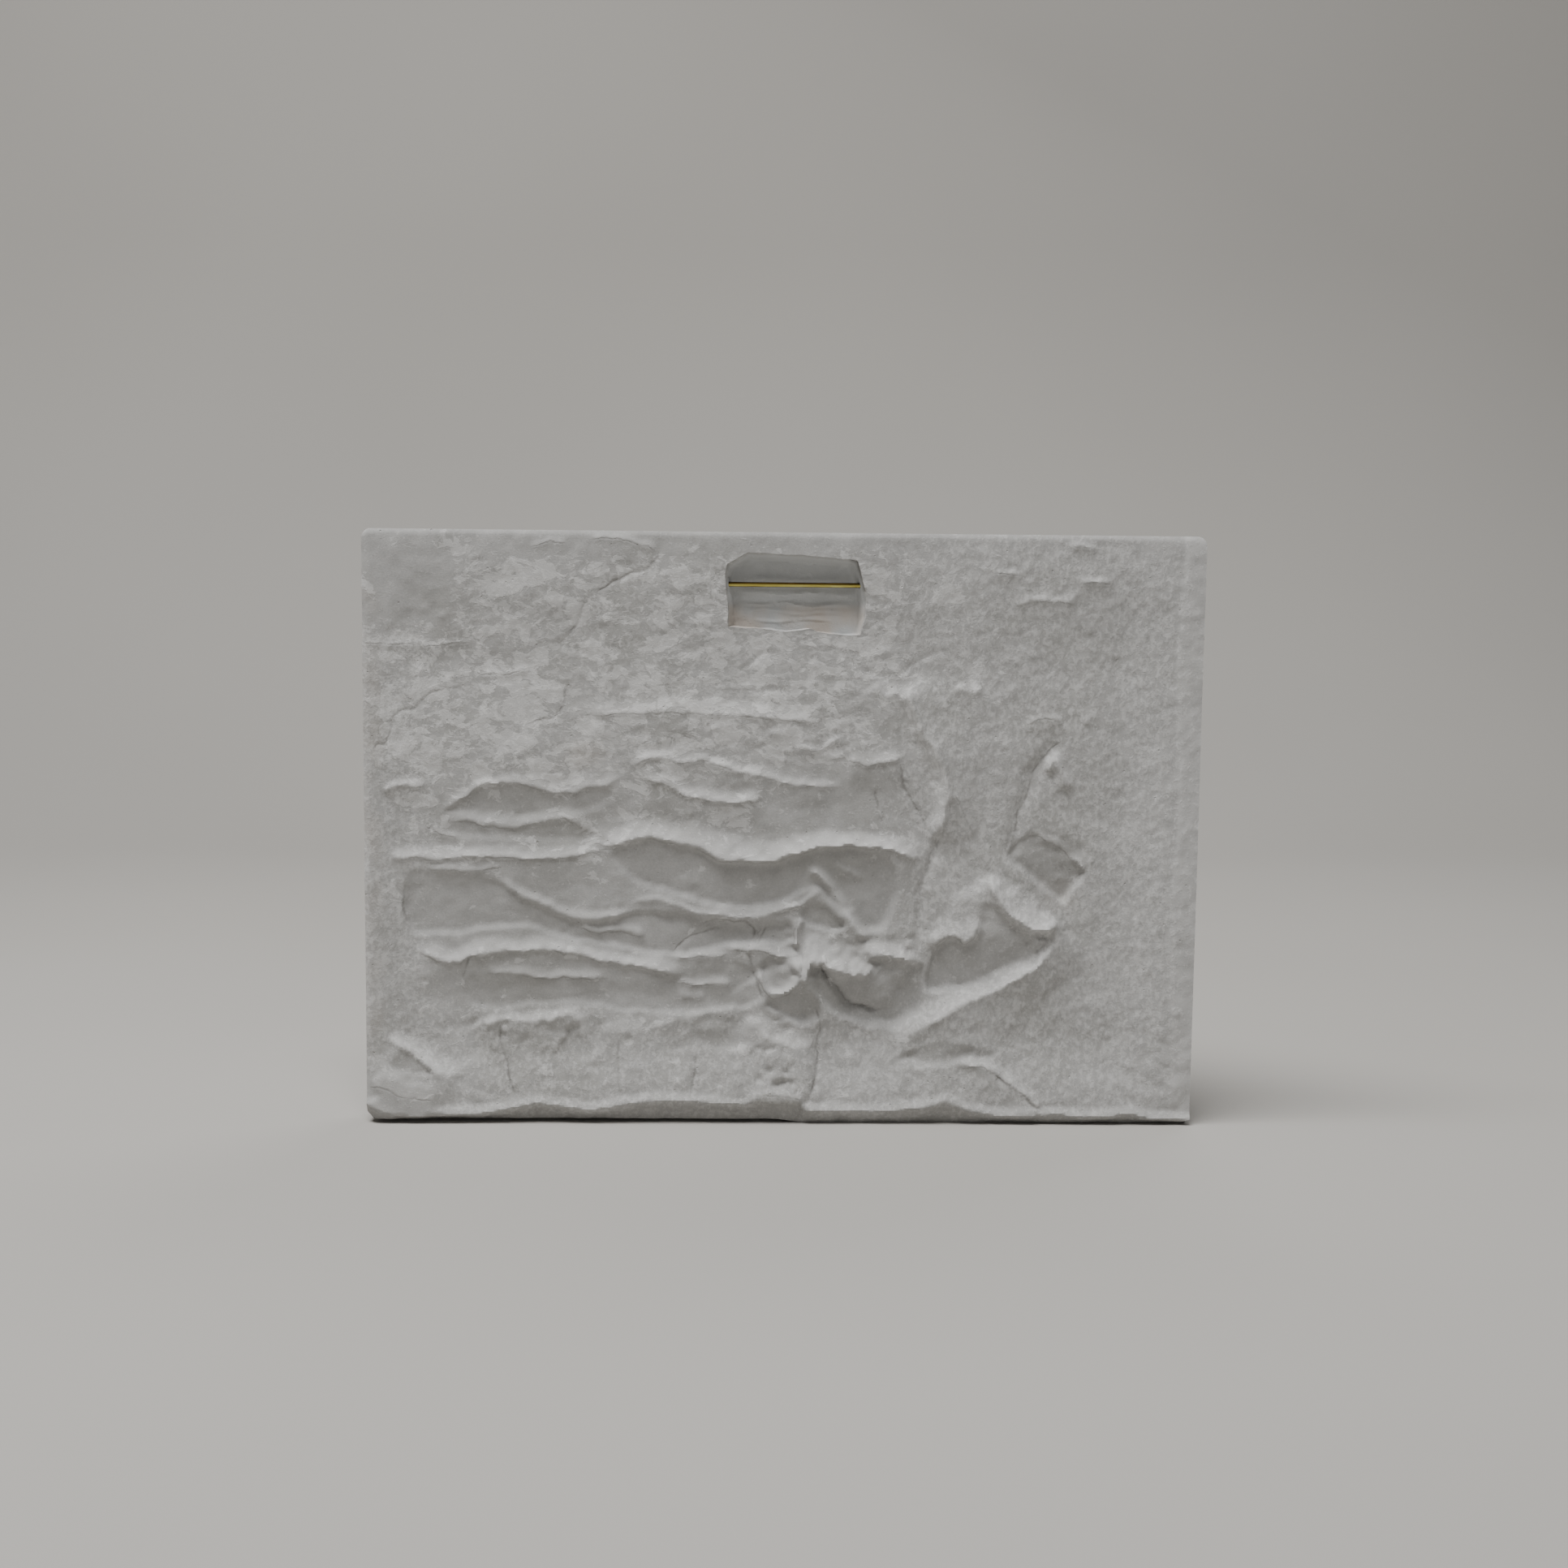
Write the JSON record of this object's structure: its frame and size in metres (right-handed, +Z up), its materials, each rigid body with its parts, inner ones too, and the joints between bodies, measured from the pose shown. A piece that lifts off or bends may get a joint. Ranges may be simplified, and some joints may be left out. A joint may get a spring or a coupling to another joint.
{
  "type": "plaster bas-relief plaque",
  "caption": "Hollow-backed cast plaster relief plaque with drapery forms, a hanging pocket cut in its back and a thin brass rod across the pocket.",
  "frame": {"origin": "middle of the hanging rod, on its axis", "axes": "+X along the panel's width, to the right in the picture; +Z up; -Y out of the carved back, towards the wall that it hangs on"},
  "size_m": [0.5499, 0.04, 0.392],
  "materials": {
    "plaster": "matte",
    "old_brass": "satin"
  },
  "bodies": {
    "root": {"plaster_panel": "plaster", "hanging_rod": "old_brass"}
  },
  "joints": []
}
